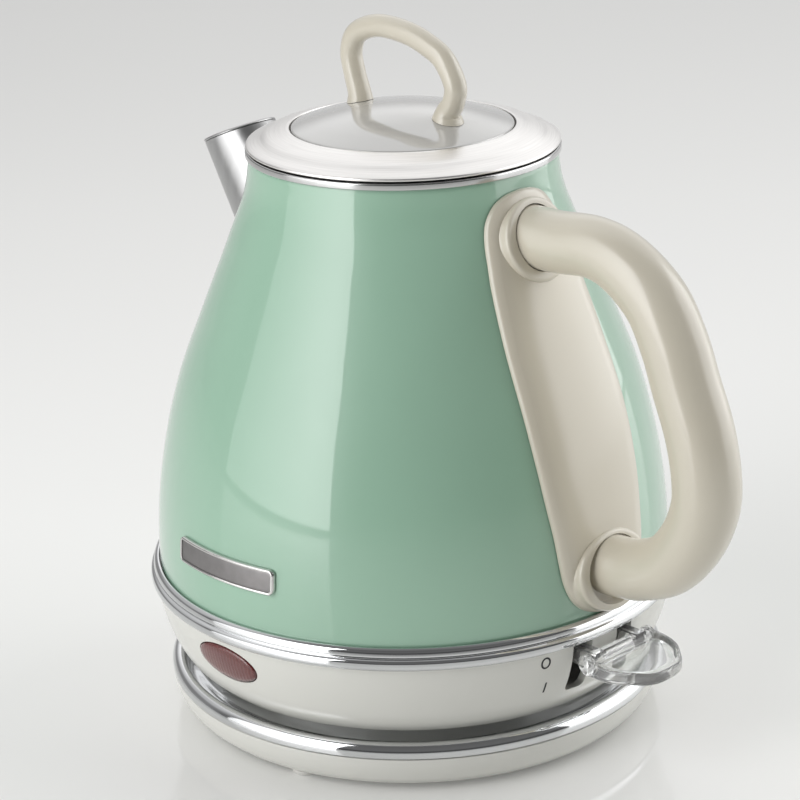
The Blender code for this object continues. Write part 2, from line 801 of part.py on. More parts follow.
def make_lid():
    """A lift-off steel lid with a plastic centre disc, a tall loop and a sealed plug below."""
    cover = turned(
        "lid_cover",
        [
            (0.0, 0.1687),
            (0.0315, 0.1687),
            (0.0315, 0.1710),
            (0.0324, 0.1709),
            (0.0350, 0.1702),
            (0.0386, 0.1692),
            (0.0394, 0.1683),
            (0.0429, 0.1672),
            (0.0438, 0.1667),
            (0.0438, 0.1661),
            (0.0400, 0.1661),
            (0.0384, 0.1681),
            (0.0348, 0.1692),
            (0.0326, 0.1698),
            (0.0326, 0.1677),
            (0.0, 0.1677),
        ],
        "brushed_steel",
        lid,
    )
    dome = [(0.0, 0.1766), (0.0100, 0.1760), (0.0200, 0.1742), (0.0270, 0.1723), (0.0311, 0.1709)]
    disc = turned("lid_disc", dome + [(0.0311, 0.1690), (0.0, 0.1690)], "cream_plastic", lid)
    plug = [
        (0.0, 0.1563),
        (0.0346, 0.1563),
        (0.0346, 0.1681),
        (0.0368, 0.1681),
        (0.0368, 0.1622),
        (0.0356, 0.1622),
        (0.0356, 0.1592),
        (0.0368, 0.1592),
        (0.0368, 0.1563),
        (0.0358, 0.1553),
        (0.0, 0.1553),
    ]
    turned("lid_plug", plug, "plain_steel", lid)
    seal = [(0.0372, 0.1619), (0.0380, 0.1609), (0.0372, 0.1595), (0.0359, 0.1595), (0.0359, 0.1619)]
    turned("lid_seal", seal, "silicone", lid)

    route = [  # x, height, radius of the loop
        (-0.0164, 0.1734, 0.0046),
        (-0.0164, 0.1757, 0.0042),
        (-0.0167, 0.1778, 0.0033),
        (-0.0185, 0.1826, 0.00315),
        (-0.0196, 0.1887, 0.00315),
        (-0.0168, 0.1943, 0.0032),
        (-0.0085, 0.1977, 0.0032),
        (0.0025, 0.1970, 0.0032),
        (0.0107, 0.1944, 0.0032),
        (0.0166, 0.1911, 0.00315),
        (0.0206, 0.1848, 0.00315),
        (0.0199, 0.1800, 0.00315),
        (0.0180, 0.1772, 0.0033),
        (0.0175, 0.1753, 0.0042),
        (0.0174, 0.1730, 0.0046),
    ]
    path = [(x, 0.0, z, radius) for x, z, radius in smooth_path(route, 2)]
    loop = tube("lid_loop", path, "cream_plastic", lid, 3)
    above = [(radius, height + GAP) for radius, height in dome]
    combine(loop, turned("lid_disc_clearance", above + [(0.0311, 0.1650), (0.0, 0.1650)], None, lid))
    for number, x in enumerate((route[0][0], route[-1][0]), start=1):
        screw = bar(f"lid_screw_{number}", (x, 0, 0.1668), (x, 0, 0.1776), 0.0013, "plain_steel", lid)
        head = bar(f"lid_screw_head_{number}", (x, 0, 0.1658), (x, 0, 0.1674), 0.0030, None, lid)
        combine(screw, head, "UNION")
        hole = bar(f"lid_screw_hole_{number}", (x, 0, 0.1660), (x, 0, 0.1780), 0.0013 + GAP, None, lid)
        for piece in (cover, disc, loop):
            combine(piece, hole)


fresh_scene()
parts = new_collection("electric_kettle")
cutters = new_collection("cutters")
axis = new_empty("kettle_axis", AXIS_X)
base = new_empty("power_base_home", parent=axis)
inlet = new_empty("inlet_home", parent=axis)
kettle = new_empty("kettle_home", parent=axis)
lid = new_empty("lid_home", parent=axis)
strainer = new_empty("filter_home", parent=axis)
lever = new_empty("switch_lever_axis", *LEVER_AXIS, parent=axis)
trip = new_empty("trip_rocker_axis", *TRIP_AXIS, parent=axis)

# What is fitted to the painted body is cut back by its outside, carried on above and below it.
outside = [(body_radius(z) + GAP, z) for z in BODY_HEIGHTS]
above = [(0.0, 0.1720), (outside[0][0], 0.1720)]
below = [(outside[-1][0], 0.0300), (0.0, 0.0300)]
body_clearance = turned("body_clearance", above + outside + below, None, kettle)

make_power_base()
make_inlet()
make_body()
make_housing()
make_heater()
make_switch()
make_lid()
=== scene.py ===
"""The looks of a cordless electric kettle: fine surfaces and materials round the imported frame.

The pieces' lengths are in millimetres and their places are measured from the kettle's axis on the
table, with the handle along +X, the spout along -X and the badge facing -Y. A turned profile is a
list of (radius, height) corners down its outer side; a third number rounds a corner by that much.
The materials' reliefs and the studio are in metres.
"""
import math

import bmesh
import bpy
import numpy as np
from mathutils import Matrix, Vector


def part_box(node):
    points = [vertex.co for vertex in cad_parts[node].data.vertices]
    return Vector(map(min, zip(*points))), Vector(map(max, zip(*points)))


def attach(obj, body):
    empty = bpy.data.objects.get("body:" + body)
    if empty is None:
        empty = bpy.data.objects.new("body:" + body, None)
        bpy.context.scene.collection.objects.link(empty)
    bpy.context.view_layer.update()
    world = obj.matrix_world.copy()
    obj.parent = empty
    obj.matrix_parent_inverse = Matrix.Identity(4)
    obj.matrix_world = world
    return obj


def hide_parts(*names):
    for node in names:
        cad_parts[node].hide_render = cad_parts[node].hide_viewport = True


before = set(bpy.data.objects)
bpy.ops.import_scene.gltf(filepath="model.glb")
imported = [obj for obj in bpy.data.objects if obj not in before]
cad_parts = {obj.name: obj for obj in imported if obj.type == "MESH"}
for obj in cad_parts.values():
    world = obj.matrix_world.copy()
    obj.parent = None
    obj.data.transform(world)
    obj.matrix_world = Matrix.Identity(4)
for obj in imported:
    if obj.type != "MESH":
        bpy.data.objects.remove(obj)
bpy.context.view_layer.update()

AXIS = (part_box("trim_ring")[0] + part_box("trim_ring")[1]) / 2
AXIS.z = 0.0
MM = 0.001
VERY_ROUND = 192  # sides of the body and the rings against it
ROUND = 160  # sides of a large turned piece
FINE = 64  # sides of a small turned piece
WALL = 0.9  # steel of the body and the spout
GAP = 0.3  # between neighbouring pieces

# The painted body and the lower housing, as (height, outer radius).
BODY_CURVE = (
    (41.5, 73.8), (50.0, 74.1), (60.0, 73.7), (80.0, 70.9), (100.0, 65.7),
    (120.0, 57.9), (140.0, 49.8), (155.0, 44.3), (164.4, 43.0),
)
SKIRT_CURVE = (
    (17.3, 66.0), (19.6, 68.4), (23.0, 70.6), (27.5, 72.6), (32.0, 74.0), (36.5, 74.9), (39.6, 75.2),
)
LENS_HEIGHT = 32.6
LEVER_PIN = (46.0, 30.0)  # out from the axis, and height
LEVER_ARMS = (-9.6, 7.2)  # the middle of each arm of the lever


# -------- curves and outlines

def read_curve(curve, height):
    """Radius at a height on a smooth curve through (height, radius) points."""
    heights, radii = np.array(curve).T
    slopes = np.gradient(radii, heights)
    i = int(np.clip(np.searchsorted(heights, height) - 1, 0, len(heights) - 2))
    width = heights[i + 1] - heights[i]
    t = (height - heights[i]) / width
    start = radii[i] * (1 + 2 * t) + width * slopes[i] * t
    end = radii[i + 1] * (3 - 2 * t) + width * slopes[i + 1] * (t - 1)
    return float(start * (1 - t) ** 2 + end * t * t)


def body_radius(height):
    return read_curve(BODY_CURVE, height)


def skirt_radius(height):
    return read_curve(SKIRT_CURVE, height)


def smooth_path(points, per_span):
    """Points along a Catmull-Rom curve through the given points, of any dimension."""
    points = [np.array(point, float) for point in points]
    padded = [2 * points[0] - points[1], *points, 2 * points[-1] - points[-2]]
    path = []
    for a, b, c, d in zip(padded, padded[1:], padded[2:], padded[3:]):
        for step in range(per_span):
            t = step / per_span
            bend = (2 * a - 5 * b + 4 * c - d) * t * t + (3 * b - a - 3 * c + d) * t**3
            path.append((2 * b + (c - a) * t + bend) / 2)
    return np.array(path + [points[-1]])


def rounded(corners, closed=True, segments=6):
    """The outline with each corner that has a third number rounded off."""
    outline = []
    count = len(corners)
    for i, corner in enumerate(corners):
        here = np.array(corner[:2], float)
        if len(corner) < 3 or (not closed and i in (0, count - 1)):
            outline.append(here)
            continue
        before = np.array(corners[i - 1][:2], float) - here
        after = np.array(corners[(i + 1) % count][:2], float) - here
        reach = min(corner[2], 0.48 * np.linalg.norm(before), 0.48 * np.linalg.norm(after))
        start = here + before / np.linalg.norm(before) * reach
        end = here + after / np.linalg.norm(after) * reach
        for t in np.linspace(0, 1, segments + 1):
            outline.append((1 - t) ** 2 * start + 2 * t * (1 - t) * here + t * t * end)
    return outline


def evenly_spaced(outline, count):
    """Points at equal steps round a closed outline, anticlockwise."""
    outline = np.array(outline, float)
    following = np.roll(outline, -1, axis=0)
    if np.sum(outline[:, 0] * following[:, 1] - following[:, 0] * outline[:, 1]) < 0:
        outline = outline[::-1]
    closed = np.vstack([outline, outline[:1]])
    along = np.concatenate([[0], np.cumsum(np.linalg.norm(np.diff(closed, axis=0), axis=1))])
    stops = np.linspace(0, along[-1], count, endpoint=False)
    return np.column_stack([np.interp(stops, along, closed[:, i]) for i in (0, 1)])


def inset(outline, distance):
    """The closed outline moved inwards."""
    along = np.roll(outline, -1, axis=0) - np.roll(outline, 1, axis=0)
    along /= np.linalg.norm(along, axis=1)[:, None]
    return outline + distance * np.column_stack([-along[:, 1], along[:, 0]])


def oval(half_width, half_height, middle=(0, 0), sides=64):
    turn = math.tau / sides
    return [
        (middle[0] + half_width * math.cos(i * turn), middle[1] + half_height * math.sin(i * turn))
        for i in range(sides)
    ]


def rounded_rectangle(width, height, corner, middle=(0, 0), per_corner=8):
    outline = []
    for quarter in range(4):
        sign_x = 1 if quarter in (0, 3) else -1
        sign_z = 1 if quarter in (0, 1) else -1
        for step in range(per_corner + 1):
            angle = math.radians(90) * (quarter + step / per_corner)
            across = sign_x * (width / 2 - corner) + corner * math.cos(angle)
            up = sign_z * (height / 2 - corner) + corner * math.sin(angle)
            outline.append((middle[0] + across, middle[1] + up))
    return outline


def layer(radius, heights, inner, outer):
    """The profile of a skin between two offsets from a turned surface, given heights from top down."""
    return [(radius(z) + outer, z) for z in heights] + [(radius(z) + inner, z) for z in heights[::-1]]


# -------- solids

def new_object(name, points, faces, look=None, smooth_angle=35):
    """A mesh from points in millimetres, standing at the kettle's axis."""
    mesh = bpy.data.meshes.new(name)
    mesh.from_pydata([Vector(point) * MM for point in points], [], faces)
    bm = bmesh.new()
    bm.from_mesh(mesh)
    bmesh.ops.remove_doubles(bm, verts=bm.verts, dist=1e-7)
    bmesh.ops.dissolve_degenerate(bm, edges=bm.edges, dist=1e-7)
    bmesh.ops.recalc_face_normals(bm, faces=bm.faces)
    bm.to_mesh(mesh)
    bm.free()
    mesh.shade_smooth()
    mesh.set_sharp_from_angle(angle=math.radians(smooth_angle))
    obj = bpy.data.objects.new(name, mesh)
    obj.location = AXIS
    bpy.context.scene.collection.objects.link(obj)
    if look:
        mesh.materials.append(look)
    bpy.context.view_layer.update()
    return obj


def grid_faces(rows, columns, wrap_rows=False, wrap_columns=False):
    faces = []
    for i in range(rows if wrap_rows else rows - 1):
        for j in range(columns if wrap_columns else columns - 1):
            k, m = (i + 1) % rows, (j + 1) % columns
            faces.append((i * columns + j, k * columns + j, k * columns + m, i * columns + m))
    return faces


def lathe(name, corners, look=None, steps=ROUND, centre=(0, 0), frame_at=None, widen=1.0):
    """Turns a profile about an upright axis, or about the Z axis of a placing matrix."""
    on_axis = corners[0][0] == 0 and corners[-1][0] == 0
    profile = rounded(corners, closed=not on_axis)
    points = []
    for step in range(steps):
        angle = math.tau * step / steps
        for radius, height in profile:
            across, side = radius * math.cos(angle), radius * math.sin(angle) * widen
            points.append(Vector((centre[0] + across, centre[1] + side, height)))
    if frame_at:
        points = [frame_at @ point for point in points]
    faces = grid_faces(steps, len(profile), wrap_rows=True, wrap_columns=not on_axis)
    return new_object(name, points, faces, look)


def prism(name, outline, near, far, along, look=None):
    """An outline pushed from near to far along an axis. It is (x, y) along Z, else (across, height)."""
    places = {
        "X": lambda a, b, depth: (depth, a, b),
        "Y": lambda a, b, depth: (a, depth, b),
        "Z": lambda a, b, depth: (a, b, depth),
    }
    points = [places[along](a, b, depth) for depth in (near, far) for a, b in outline]
    count = len(outline)
    faces = grid_faces(2, count, wrap_columns=True)
    faces += [tuple(range(count)), tuple(range(count, 2 * count))]
    return new_object(name, points, faces, look)


def placed(place, degrees, axis):
    """A placing matrix: a turn about X or Y, then a move."""
    return Matrix.Translation(place) @ Matrix.Rotation(math.radians(degrees), 4, axis)


def bar(name, start, end, radius, end_radius=None, look=None, sides=FINE, widen=1.0):
    """A round bar or cone between two points, widened across the handle's plane if asked."""
    start, end = Vector(start), Vector(end)
    turn = Vector((0, 0, 1)).rotation_difference(end - start).to_matrix()
    points = []
    for centre, ring in ((start, radius), (end, radius if end_radius is None else end_radius)):
        for side in range(sides):
            angle = math.tau * side / sides
            point = centre + turn @ Vector((ring * math.cos(angle), ring * math.sin(angle), 0))
            points.append((point.x, point.y * widen, point.z))
    faces = grid_faces(2, sides, wrap_columns=True)
    faces += [tuple(range(sides)), tuple(range(sides, 2 * sides))]
    return new_object(name, points, faces, look)


def tube(name, route, look, per_span=10, sides=56):
    """A round tube along (x, height, radius) points in the plane of the handle."""
    path = smooth_path(route, per_span)
    centres, radii = path[:, :2], path[:, 2]
    along = np.gradient(centres, axis=0)
    along /= np.linalg.norm(along, axis=1)[:, None]
    points = []
    for (x, z), (dx, dz), radius in zip(centres, along, radii):
        for side in range(sides):
            angle = math.tau * side / sides
            across, up = radius * math.cos(angle), radius * math.sin(angle)
            points.append((x - dz * up, across, z + dx * up))
    faces = grid_faces(len(path), sides, wrap_columns=True)
    faces += [tuple(range(sides)), tuple(range(len(points) - sides, len(points)))]
    return new_object(name, points, faces, look, 50)


def pillow(name, outline, spine, section, place, look=None, count=160, fills=6):
    """A closed shape on an outline: rings of (inset, height), whose first and last are filled in.

    The filling shrinks towards the spine, a segment between two points of the outline's plane,
    and place maps (across, up, height) to a point in space.
    """
    outline = evenly_spaced(outline, count)
    start, end = np.array(spine, float)
    reach = end - start
    share = np.clip((outline - start) @ reach / (reach @ reach), 0, 1)
    core = start + share[:, None] * reach
    first, last = inset(outline, section[0][0]), inset(outline, section[-1][0])
    rings = []
    for scale in np.linspace(0, 1, fills, endpoint=False):
        rings.append((core + (first - core) * scale, section[0][1]))
    rings += [(inset(outline, distance), height) for distance, height in section]
    for scale in np.linspace(1, 0, fills + 1)[1:]:
        rings.append((core + (last - core) * scale, section[-1][1]))
    points = [place(a, b, height) for ring, height in rings for a, b in ring]
    return new_object(name, points, grid_faces(len(rings), count, wrap_columns=True), look)


def combine(obj, other, operation="DIFFERENCE", smooth_angle=35):
    """Cuts or joins with another object, which is used up."""
    boolean = obj.modifiers.new(operation.title(), "BOOLEAN")
    boolean.operation = operation
    boolean.object = other
    graph = bpy.context.evaluated_depsgraph_get()
    mesh = bpy.data.meshes.new_from_object(obj.evaluated_get(graph))
    obj.modifiers.clear()
    obj.data = mesh
    bpy.data.objects.remove(other)
    mesh.set_sharp_from_angle(angle=math.radians(smooth_angle))
    return obj


def finished(obj, body, slot, *nodes):
    """The piece moves with a body and stands for the nodes, which are hidden. The slot is not used."""
    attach(obj, body)
    if nodes:
        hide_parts(*nodes)
    return obj


def on_body(a, b, height):
    """A point on the painted body's front, which faces -Y."""
    return a, -math.sqrt((body_radius(b) + height) ** 2 - a * a), b


def on_body_side(a, b, height):
    """A point on the painted body's handle side, which faces +X."""
    return math.sqrt((body_radius(b) + height) ** 2 - a * a), a, b


def on_skirt(a, b, height):
    return a, -math.sqrt((skirt_radius(b) + height) ** 2 - a * a), b


def on_skirt_side(a, b, height):
    return math.sqrt((skirt_radius(b) + height) ** 2 - a * a), a, b


# -------- materials

class Look:
    """A material and the nodes that give its surface detail, in object coordinates in metres."""

    def __init__(self, name, colour, roughness, metallic=0.0, **sockets):
        self.material = bpy.data.materials.new(name)
        self.material.use_nodes = True
        self.tree = self.material.node_tree
        self.shader = self.tree.nodes["Principled BSDF"]
        values = {"Base Color": (*colour, 1.0), "Roughness": roughness, "Metallic": metallic, **sockets}
        for socket, value in values.items():
            self.shader.inputs[socket].default_value = value
        self.place = self.add("ShaderNodeTexCoord").outputs["Object"]

    def add(self, kind, **settings):
        node = self.tree.nodes.new(kind)
        for key, value in settings.items():
            setattr(node, key, value)
        return node

    def feed(self, node, **inputs):
        """Links sockets, or sets numbers, on the node's named inputs."""
        for name, value in inputs.items():
            socket = node.inputs[name.replace("_", " ")]
            if isinstance(value, bpy.types.NodeSocket):
                self.tree.links.new(value, socket)
            else:
                socket.default_value = value
        return node

    def round_place(self, radial, angular):
        """Coordinates that run out from the upright axis and, more slowly, round it."""
        flat = self.add("ShaderNodeVectorMath", operation="MULTIPLY")
        self.tree.links.new(self.place, flat.inputs[0])
        flat.inputs[1].default_value = (1, 1, 0)
        length = self.add("ShaderNodeVectorMath", operation="LENGTH")
        self.tree.links.new(flat.outputs[0], length.inputs[0])
        direction = self.add("ShaderNodeVectorMath", operation="NORMALIZE")
        self.tree.links.new(flat.outputs[0], direction.inputs[0])
        slow = self.add("ShaderNodeVectorMath", operation="SCALE")
        self.tree.links.new(direction.outputs[0], slow.inputs[0])
        slow.inputs["Scale"].default_value = angular
        parts = self.add("ShaderNodeSeparateXYZ")
        self.tree.links.new(self.place, parts.inputs[0])
        outwards = self.add("ShaderNodeMath", operation="ADD")
        self.tree.links.new(length.outputs["Value"], outwards.inputs[0])
        self.tree.links.new(parts.outputs["Z"], outwards.inputs[1])
        fast = self.add("ShaderNodeMath", operation="MULTIPLY")
        self.tree.links.new(outwards.outputs[0], fast.inputs[0])
        fast.inputs[1].default_value = radial
        upright = self.add("ShaderNodeCombineXYZ")
        self.tree.links.new(fast.outputs[0], upright.inputs["Z"])
        both = self.add("ShaderNodeVectorMath", operation="ADD")
        self.tree.links.new(slow.outputs[0], both.inputs[0])
        self.tree.links.new(upright.outputs[0], both.inputs[1])
        return both.outputs[0]

    def noise(self, scale, detail=3.0, stretch=(1, 1, 1), place=None, turn=(0, 0, 0)):
        mapping = self.add("ShaderNodeMapping")
        self.feed(mapping, Vector=place or self.place, Scale=stretch, Rotation=turn)
        texture = self.add("ShaderNodeTexNoise")
        self.feed(texture, Vector=mapping.outputs[0], Scale=scale, Detail=detail)
        return texture.outputs["Fac"]

    def spread(self, source, low, high, start=0.3, stop=0.7):
        """A noise mapped to a range of numbers."""
        ranged = self.add("ShaderNodeMapRange")
        self.tree.links.new(source, ranged.inputs["Value"])
        for name, value in (("From Min", start), ("From Max", stop), ("To Min", low), ("To Max", high)):
            ranged.inputs[name].default_value = value
        return ranged.outputs[0]

    def rough(self, source, low, high):
        self.feed(self.shader, Roughness=self.spread(source, low, high))
        return self

    def colours(self, source, dark, light):
        ramp = self.add("ShaderNodeValToRGB")
        ramp.color_ramp.elements[0].position = 0.3
        ramp.color_ramp.elements[1].position = 0.7
        ramp.color_ramp.elements[0].color = (*dark, 1)
        ramp.color_ramp.elements[1].color = (*light, 1)
        self.tree.links.new(source, ramp.inputs[0])
        self.tree.links.new(ramp.outputs[0], self.shader.inputs["Base Color"])
        return self

    def bump(self, source, depth, socket="Normal"):
        """Relief of the given depth in metres, on top of any relief there already."""
        bump = self.add("ShaderNodeBump")
        bump.inputs["Strength"].default_value = 1.0
        bump.inputs["Distance"].default_value = depth
        self.tree.links.new(source, bump.inputs["Height"])
        if self.shader.inputs[socket].links:
            self.tree.links.new(self.shader.inputs[socket].links[0].from_socket, bump.inputs["Normal"])
        self.tree.links.new(bump.outputs[0], self.shader.inputs[socket])
        return self


def shade(colour, factor):
    return tuple(value * factor for value in colour)


def green_enamel():
    """Glossy baked enamel: a faint orange peel, a slight drift of tone, fine wiping marks."""
    colour = (0.330, 0.535, 0.402)
    clear_coat = {"Coat Weight": 1.0, "Coat Roughness": 0.05, "Coat IOR": 1.5}
    look = Look("green_enamel", colour, 0.32, **clear_coat)
    look.colours(look.noise(14, 4), shade(colour, 0.975), shade(colour, 1.02))
    look.rough(look.noise(90, 6, (1, 1, 0.25)), 0.28, 0.38)
    peel = look.noise(420, 2)
    look.bump(peel, 0.000004)
    look.bump(peel, 0.0000015, "Coat Normal")
    return look.material


def cream_plastic(name, colour, roughness, grain=0.000001, **coat):
    """Moulded gloss plastic: a slight drift of tone and of gloss, and a fine texture."""
    thin_coat = {"Coat Weight": 0.35, "Coat Roughness": 0.08}
    look = Look(name, colour, roughness, **(coat or thin_coat))
    look.colours(look.noise(18, 2), shade(colour, 0.985), shade(colour, 1.01))
    look.rough(look.noise(40, 3), roughness - 0.015, roughness + 0.02)
    look.bump(look.noise(1300, 3), grain)
    return look.material


def dark_plastic(name, colour, roughness=0.42):
    """Spark-eroded plastic: a fine even grain."""
    look = Look(name, colour, roughness)
    look.colours(look.noise(60, 4), shade(colour, 0.8), shade(colour, 1.2))
    look.rough(look.noise(240, 5), roughness - 0.08, roughness + 0.08)
    look.bump(look.noise(1800, 2), 0.00002)
    return look.material


def turned_steel(name, colour, roughness, depth=0.0000016):
    """Satin steel brushed round its axis."""
    look = Look(name, colour, roughness, 1.0)
    lines = look.noise(1.0, 4, place=look.round_place(5200, 2.2))
    look.colours(lines, shade(colour, 0.93), shade(colour, 1.05))
    look.rough(look.noise(1.0, 5, place=look.round_place(2400, 3.0)), roughness - 0.04, roughness + 0.05)
    look.bump(lines, depth)
    return look.material


def chrome(name, colour=(0.70, 0.71, 0.72)):
    """Polished plate with faint smudges and a little waviness."""
    look = Look(name, colour, 0.06, 1.0)
    look.colours(look.noise(40, 3), shade(colour, 0.96), shade(colour, 1.03))
    look.rough(look.noise(70, 6), 0.03, 0.10)
    look.bump(look.noise(60, 2), 0.000012)
    return look.material


def rolled_steel(name, colour, roughness, stretch=(1, 1, 12)):
    """Drawn sheet steel, its grain running with the draw."""
    look = Look(name, colour, roughness, 1.0)
    grain = look.noise(260, 5, stretch)
    look.colours(grain, shade(colour, 0.92), shade(colour, 1.06))
    look.rough(grain, roughness - 0.03, roughness + 0.04)
    look.bump(grain, 0.000002)
    return look.material


def soft_rubber(name, colour):
    look = Look(name, colour, 0.62)
    look.colours(look.noise(80, 4), shade(colour, 0.93), shade(colour, 1.03))
    look.rough(look.noise(200, 4), 0.55, 0.72)
    look.bump(look.noise(900, 2), 0.00001)
    return look.material


def clear_acrylic():
    """Clear moulded plastic with faint flow marks and rubbed patches."""
    sockets = {"Transmission Weight": 0.90, "IOR": 1.49}
    look = Look("clear_acrylic", (0.97, 0.975, 0.97), 0.03, **sockets)
    look.rough(look.noise(140, 5), 0.01, 0.07)
    look.bump(look.noise(90, 2), 0.00004)
    return look.material


def ruby_lens():
    """Dark red translucent plastic, ribbed on its inner side, with the ribs' crests painted lighter and their
    grooves painted darker as painted highlight and shade.
    """
    sockets = {"Transmission Weight": 0.35, "IOR": 1.49, "Coat Weight": 1.0, "Coat Roughness": 0.05}
    colour = (0.20, 0.028, 0.026)
    look = Look("ruby_lens", colour, 0.22, **sockets)
    ribs_and_rib_shade = look.add("ShaderNodeTexWave", bands_direction="X", wave_profile="SIN")
    look.feed(ribs_and_rib_shade, Vector=look.place, Scale=250.0, Distortion=0.0)
    # Painted highlight and shade of the ribs: the colour is lighter on each rib's crest and darker in the
    # groove between ribs.
    look.colours(ribs_and_rib_shade.outputs["Fac"], shade(colour, 0.85), shade(colour, 1.08))
    look.rough(look.noise(200, 4), 0.16, 0.26)
    look.bump(ribs_and_rib_shade.outputs["Fac"], 0.00004)
    return look.material


def cast_badge(name, colour, roughness):
    """Die-cast metal: fine pitting in the field, rubbed brighter here and there."""
    look = Look(name, colour, roughness, 1.0)
    look.colours(look.noise(260, 3), shade(colour, 0.93), shade(colour, 1.06))
    look.rough(look.noise(500, 4), roughness - 0.05, roughness + 0.06)
    look.bump(look.noise(1500, 3), 0.000012)
    return look.material


def bright_brass():
    colour = (0.72, 0.52, 0.22)
    look = Look("bright_brass", colour, 0.28, 1.0)
    look.colours(look.noise(180, 5), shade(colour, 0.8), shade(colour, 1.08))
    look.rough(look.noise(300, 5), 0.28, 0.40)
    look.bump(look.noise(700, 3), 0.000006)
    return look.material


def printed_ink():
    look = Look("printed_ink", (0.02, 0.02, 0.022), 0.45)
    look.rough(look.noise(900, 3), 0.38, 0.55)
    look.bump(look.noise(2400, 2), 0.000006)
    return look.material


GREEN = green_enamel()
CREAM = cream_plastic("cream_gloss", (0.735, 0.735, 0.690), 0.25)
SOFT_GLOSS = {"Coat Weight": 0.8, "Coat Roughness": 0.20, "Coat IOR": 1.6}
HANDLE = cream_plastic("cream_handle", (0.635, 0.592, 0.490), 0.30, **SOFT_GLOSS)
DEEP_GLOSS = {"Coat Weight": 1.0, "Coat Roughness": 0.03, "Coat IOR": 2.3}
DISC = cream_plastic("cream_disc", (0.500, 0.495, 0.480), 0.14, 0.0000005, **DEEP_GLOSS)
WHITE = cream_plastic("white_plastic_fine", (0.80, 0.80, 0.775), 0.40, 0.00001)
BLACK = dark_plastic("black_grained", (0.018, 0.018, 0.019))
CHROME = chrome("mirror_chrome")
SATIN = turned_steel("satin_steel", (0.88, 0.865, 0.85), 0.33, 0.0000006)
POLISHED = turned_steel("polished_steel", (0.58, 0.58, 0.58), 0.14, 0.0000006)
SHEET = rolled_steel("sheet_steel", (0.56, 0.56, 0.56), 0.32)
SPOUT_STEEL = rolled_steel("spout_steel", (0.49, 0.49, 0.49), 0.32, (1, 1, 0.15))
BRASS = bright_brass()
RUBBER = soft_rubber("silicone_rubber", (0.72, 0.71, 0.68))
CLEAR = clear_acrylic()
RUBY = ruby_lens()
BADGE_FIELD = cast_badge("badge_field", (0.27, 0.26, 0.26), 0.42)
BADGE_RIM = cast_badge("badge_rim", (0.70, 0.69, 0.68), 0.20)
INK = printed_ink()


# -------- power base

def make_power_base():
    shell = lathe(
        "base_wall",
        [
            (72.0, 11.2, 0.3), (71.6, 8.0, 2.0), (70.0, 4.4, 2.0), (66.9, 1.6, 0.6), (65.1, 1.6, 0.4),
            (68.0, 4.7), (69.5, 7.6), (21.5, 7.6), (21.5, 9.6), (60.0, 9.6), (62.8, 9.8), (65.5, 11.2, 0.3),
        ],
        CREAM,
    )
    gland_height, gland_radius = 6.4, 3.4
    notch = bar("gland_notch", (0, 64.3, gland_height), (0, 90, gland_height), gland_radius + GAP)
    combine(shell, notch)
    finished(shell, "power_base", "cream_plastic", "base_shell")
    dish = lathe(
        "base_bright_dish",
        [
            (69.6, 15.7, 0.9), (71.2, 15.2, 0.9), (72.2, 13.6, 0.8), (72.2, 11.6, 0.2), (71.3, 11.6),
            (71.3, 13.2), (70.7, 14.3), (69.6, 14.8), (68.0, 13.9), (64.5, 11.4), (60.0, 10.2),
            (22.0, 10.2), (22.0, 11.0), (60.0, 11.0, 3.0), (64.0, 12.2, 1.5), (67.5, 14.6, 1.2),
        ],
        CHROME,
    )
    finished(dish, "power_base", "chrome", "base_chrome_dish")
    cover = lathe("base_underside", [(0, 3.8), (64.5, 3.8, 0.3), (64.5, 2.2, 0.4), (0, 2.2)], CREAM)
    finished(cover, "power_base", "cream_plastic", "base_bottom_cover")
    for number, degrees in enumerate((-75, 45, 165), start=1):
        make_foot(number, math.radians(degrees))
    gland = lathe(
        "gland_bush",
        [(gland_radius, 8.9, 0.5), (gland_radius, 0.0, 0.2), (2.2, 0.0, 0.2), (2.2, 8.9, 0.6)],
        BLACK,
        FINE,
        frame_at=placed((0, 64.6, gland_height), -90, "X"),
    )
    finished(gland, "power_base", "black_plastic", "cord_gland")
    make_connector()


def make_foot(number, angle):
    """A stepped rubber puck under the rim."""
    profile = [
        (0, 1.9), (1.9, 1.9, 0.2), (1.9, 1.3), (4.0, 1.3, 0.3), (4.0, 0.45, 0.3), (3.55, 0.0, 0.3), (0, 0.0),
    ]
    foot_circle = 62.6
    centre = (foot_circle * math.cos(angle), foot_circle * math.sin(angle))
    foot = lathe(f"rubber_foot_{number}", profile, RUBBER, FINE, centre)
    finished(foot, "power_base", "silicone", f"base_foot_{number}")


def make_connector():
    """The round tower that the kettle drops onto."""
    tower = lathe(
        "connector_tower",
        [
            (0, 13.0), (2.9, 13.0), (2.9, 24.0, 0.4), (7.6, 24.0, 0.4), (7.6, 14.5), (11.4, 14.5),
            (11.4, 24.0, 0.4), (19.4, 24.0, 0.9), (20.6, 22.8, 0.9), (20.6, 7.3), (26.0, 7.3, 0.4),
            (26.0, 5.2, 0.4), (0, 5.2),
        ],
        BLACK,
        96,
    )
    finished(tower, "power_base", "black_plastic", "base_connector")
    sleeve("tower_contact", 11.0, 10.3, 15.0, 21.5, "power_base", "base_contact_ring")
    sleeve("tower_earth", 2.6, 2.1, 13.4, 21.0, "power_base", "base_earth_sleeve")


def sleeve(name, outer, inner, low, high, body, node):
    lip = 0.25
    ring = lathe(name, [(outer, high, lip), (outer, low), (inner, low), (inner, high, lip)], BRASS, FINE)
    finished(ring, body, "brass", node)


